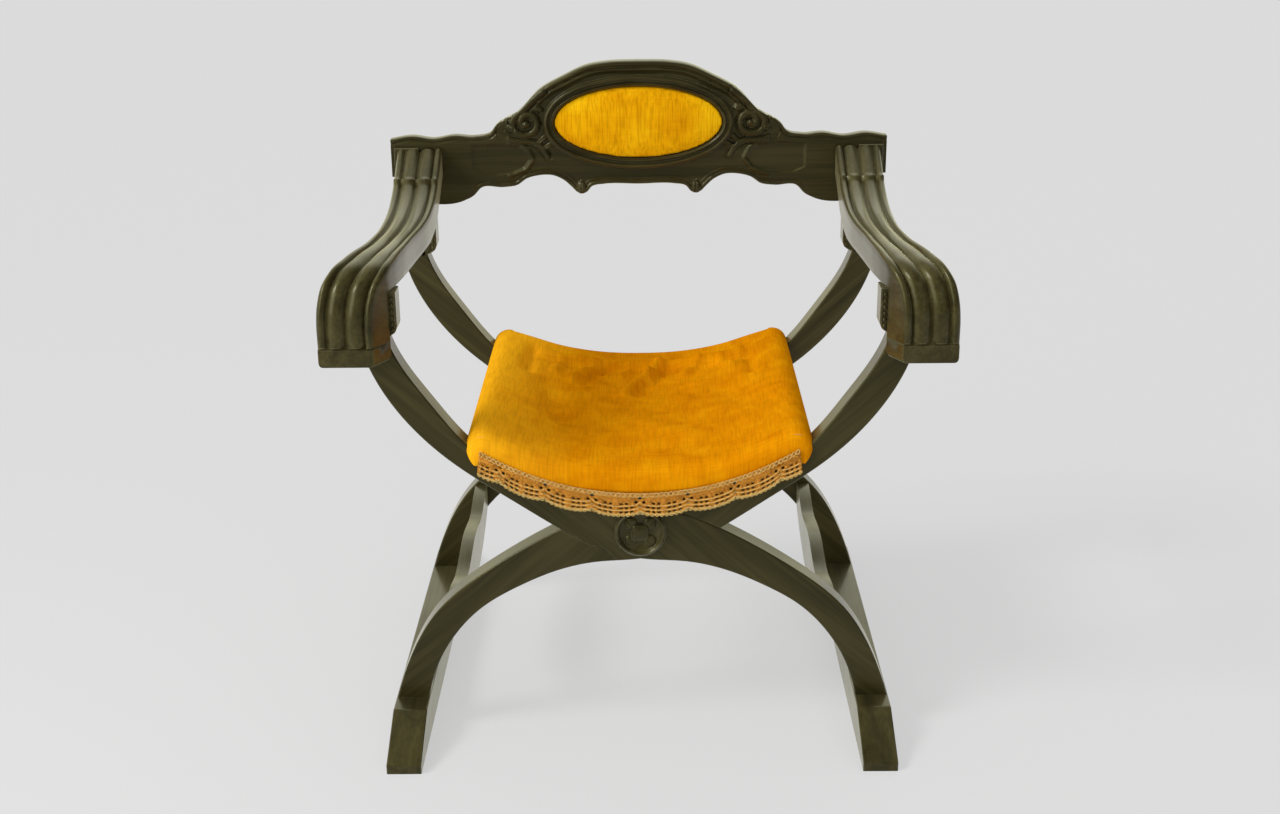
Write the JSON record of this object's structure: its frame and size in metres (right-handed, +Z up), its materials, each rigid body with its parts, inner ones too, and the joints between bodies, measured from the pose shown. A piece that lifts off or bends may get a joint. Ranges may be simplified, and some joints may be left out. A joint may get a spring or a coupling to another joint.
{
  "type": "folding X-frame armchair",
  "caption": "Carved walnut folding armchair with crossed S-curved frames, reeded arms, a carved crest with an oval pad and a velvet sling seat.",
  "frame": {"origin": "on the floor, under the middle of the chair", "axes": "+Z up, -Y to the front, +X to the right as seen from the front"},
  "size_m": [0.706, 0.6, 0.751],
  "materials": {
    "walnut": "satin lacquer over dark brown walnut",
    "plain_wood": "bare softwood board",
    "velvet": "mustard gold velvet",
    "canvas": "plain woven canvas",
    "lace": "gold lace braid",
    "dark_steel": "darkened steel",
    "brass": "aged brass"
  },
  "bodies": {
    "right_leaf": {"front_pivot_bolt": "dark_steel", "front_pivot_nut": "dark_steel", "front_pivot_washer": "dark_steel", "front_right_bracket": "walnut", "front_right_member": "walnut", "lace_trim": "lace", "left_lower_stretcher": "walnut", "left_runner": "walnut", "left_runner_screws": "dark_steel", "rear_pivot_bolt": "dark_steel", "rear_pivot_nut": "dark_steel", "rear_pivot_washer": "dark_steel", "rear_right_bracket": "walnut", "rear_right_member": "walnut", "right_arm": "walnut", "right_arm_screw": "dark_steel", "right_rail_screws": "dark_steel", "right_seat_rail": "walnut", "right_seat_tacks": "brass", "seat_cover": "velvet", "seat_sling": "canvas"},
    "left_leaf": {"front_left_member": "walnut", "rear_left_member": "walnut", "left_arm": "walnut", "left_arm_screw": "dark_steel", "right_runner": "walnut", "right_runner_screws": "dark_steel", "right_lower_stretcher": "walnut", "left_seat_rail": "walnut", "left_rail_screws": "dark_steel", "left_seat_tacks": "brass", "front_left_bracket": "walnut", "rear_left_bracket": "walnut", "front_rosette": "walnut", "rear_rosette": "walnut"},
    "back_rest": {"crest_rail": "walnut", "oval_moulding": "walnut", "back_pad_board": "plain_wood", "back_pad": "velvet", "back_board_screws": "dark_steel"}
  },
  "joints": [
    {"name": "fold", "type": "hinge", "parent": "right_leaf", "child": "left_leaf", "pos_m": [0, 0, 0.262], "axis": [0, 1, 0], "range_deg": [0, 60], "deforming": ["seat_sling", "seat_cover", "lace_trim"]},
    {"name": "back_lift", "type": "slide", "parent": "right_leaf", "child": "back_rest", "axis": [0, 0, 1], "range_m": [0, 0.482]}
  ],
  "couplings": [
    {"joint": "back_lift", "follows": "fold", "m_per_rad": 0.46}
  ]
}
